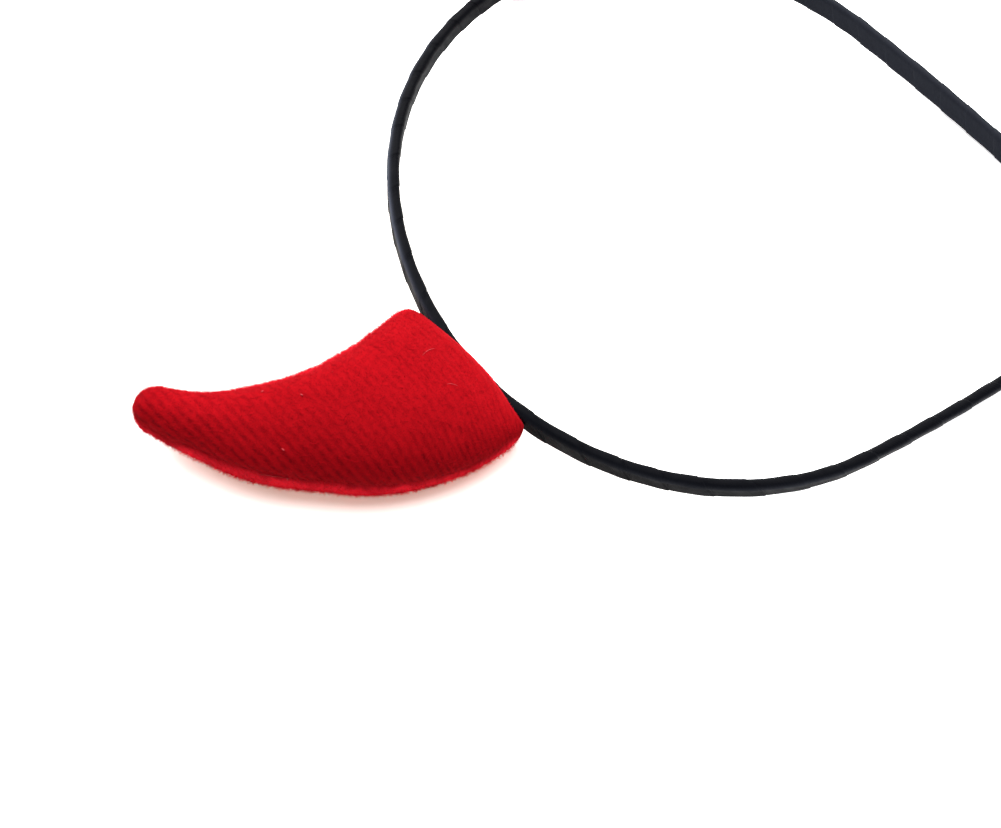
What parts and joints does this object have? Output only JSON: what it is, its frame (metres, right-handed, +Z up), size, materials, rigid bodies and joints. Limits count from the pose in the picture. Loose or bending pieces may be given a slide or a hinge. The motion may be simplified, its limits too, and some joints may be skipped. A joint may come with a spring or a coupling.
{
  "type": "devil horns headband",
  "caption": "Thin spring hoop headband wound with black ribbon, with two stuffed red wool horns that curve up towards the crown.",
  "frame": {"origin": "under the middle of the headband as it lies: the centre of the bottom of its box, on the surface it rests on", "axes": "+Z up from that surface, +Y from the ends of the hoop towards its crown, +X to the right horn"},
  "size_m": [0.1724, 0.1704, 0.0166],
  "materials": {
    "ribbon": "black satin ribbon, wound in overlapping turns, low sheen",
    "wool": "brushed red wool cloth, fine diagonal ribs and short fuzz, matte"
  },
  "bodies": {
    "root": {"band": "ribbon", "horn_left": "wool", "horn_right": "wool"}
  },
  "joints": []
}
